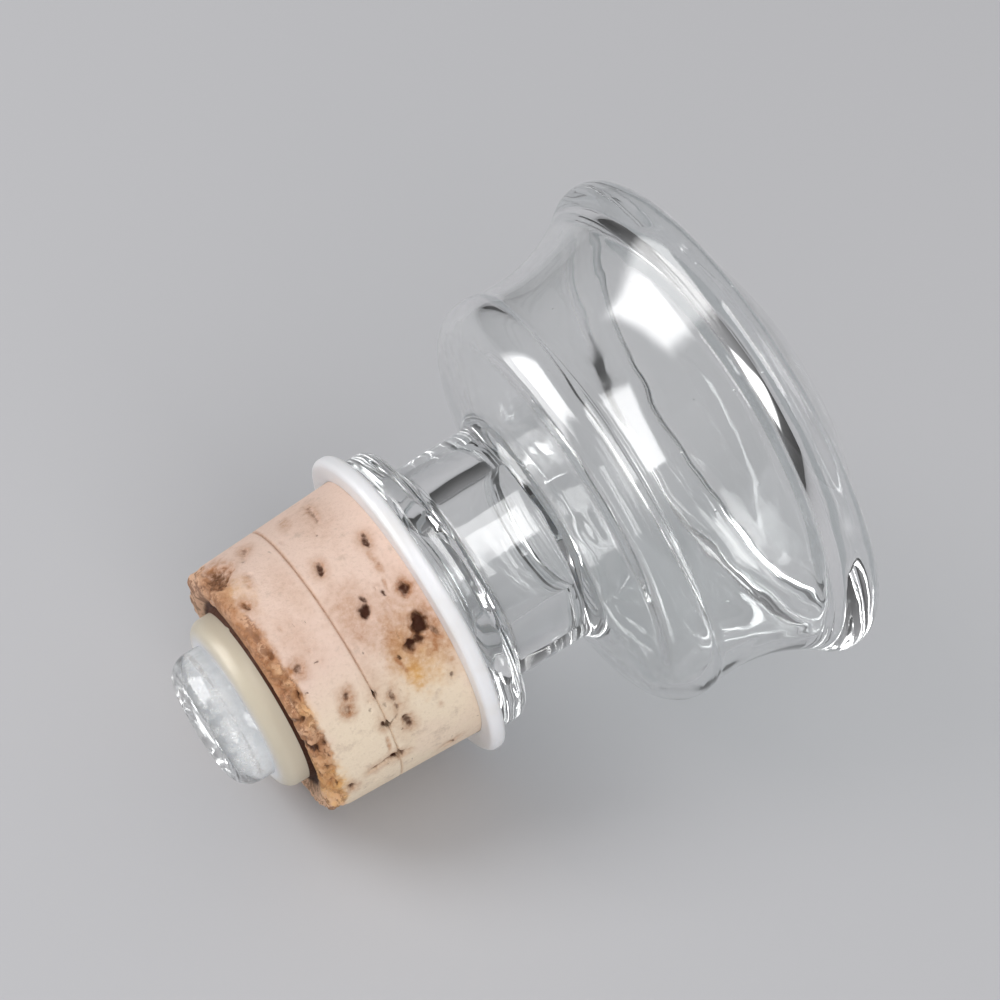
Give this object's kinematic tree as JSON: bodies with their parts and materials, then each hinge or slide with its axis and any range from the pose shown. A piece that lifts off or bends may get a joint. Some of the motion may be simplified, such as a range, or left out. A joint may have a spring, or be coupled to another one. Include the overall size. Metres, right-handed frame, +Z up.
{
  "type": "glass stopper",
  "caption": "Hollow clear glass stopper with a domed, rimmed head, a white plastic sleeve and flange, and a tapered natural cork, lying on its side.",
  "frame": {"origin": "centre of the box's bottom face, on the surface that the stopper lies on", "axes": "+Z up, with the stopper lying on its rim and on the cork's lower edge; +X runs along the surface from the bare glass tip towards the head; the stopper's own axis lies in the XZ plane, 14.24 degrees above +X"},
  "size_m": [0.0804, 0.062, 0.0603],
  "materials": {
    "clear_glass": "polished",
    "white_plastic": "satin",
    "cork": "matte"
  },
  "bodies": {
    "root": {"glass_stopper": "clear_glass", "plastic_sleeve": "white_plastic", "upper_cork_ring": "cork", "lower_cork_ring": "cork"}
  },
  "joints": []
}
